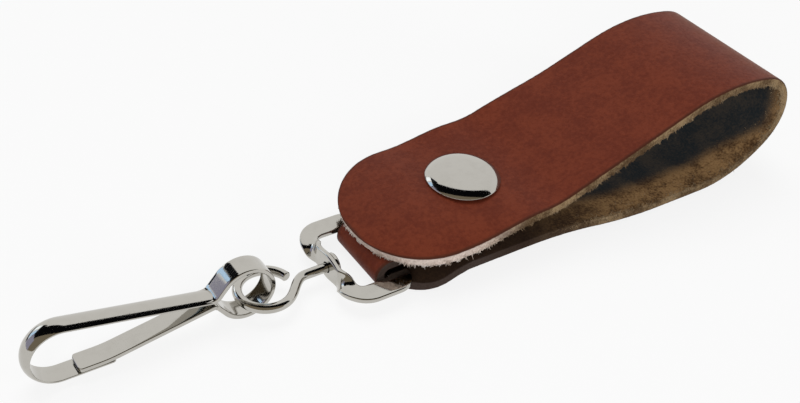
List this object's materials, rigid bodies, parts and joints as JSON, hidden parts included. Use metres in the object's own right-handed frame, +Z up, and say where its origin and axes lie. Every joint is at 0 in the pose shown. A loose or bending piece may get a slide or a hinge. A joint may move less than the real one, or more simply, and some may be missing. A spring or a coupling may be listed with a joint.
{
  "type": "belt key clip",
  "caption": "Leather belt loop closed by a press snap, with a stamped bracket, a wire swivel eye and a spring-leaf hook for keys.",
  "frame": {"origin": "under the middle of the whole length, in the plane that the strap rests on", "axes": "+X along the strap from the hook to the bend of the loop, +Y across the strap, +Z up from the strap's back to the snap's cap"},
  "size_m": [0.1652, 0.0318, 0.0263],
  "materials": {
    "leather": "oiled red-brown grain side, raw flesh side and raw cut edges",
    "nickel": "polished nickel plate on steel",
    "snap_nickel": "nickel plate on stamped brass",
    "snap_brass": "plain drawn brass eyelet",
    "spring_steel": "drawn spring wire"
  },
  "bodies": {
    "strap": {"strap_back": "leather", "snap_stud": "snap_nickel", "snap_stud_post": "snap_brass"},
    "flap": {"strap_flap": "leather", "snap_cap": "nickel", "snap_cap_post": "snap_brass", "snap_socket": "snap_nickel", "snap_spring": "spring_steel"},
    "bracket": {"strap_bracket": "nickel"},
    "swivel": {"swivel_eye": "nickel"},
    "hook": {"hook_body": "nickel"},
    "gate": {"hook_gate": "nickel"}
  },
  "joints": [
    {"name": "flap_open", "type": "hinge", "parent": "strap", "child": "flap", "pos_m": [0.08258, 0, 0.01506], "axis": [0, 1, 0], "range_deg": [0, 90], "stiffness_Nm_per_rad": 0.004},
    {"name": "bracket_pivot", "type": "hinge", "parent": "strap", "child": "bracket", "pos_m": [-0.01367, -0.0024, 0.00315], "axis": [0, 1, 0], "range_deg": [-15, 15]},
    {"name": "swivel_spin", "type": "hinge", "parent": "bracket", "child": "swivel", "pos_m": [-0.03257, -0.0024, 0.00315], "axis": [1, 0, 0], "continuous": true},
    {"name": "hook_swing", "type": "hinge", "parent": "swivel", "child": "hook", "pos_m": [-0.04278, -0.0024, 0.00315], "axis": [0, 1, 0], "range_deg": [-80, 50]},
    {"name": "gate_open", "type": "hinge", "parent": "hook", "child": "gate", "pos_m": [-0.04814, -0.0024, 0.00532], "axis": [0, 1, 0], "range_deg": [0, 15], "stiffness_Nm_per_rad": 0.05}
  ]
}
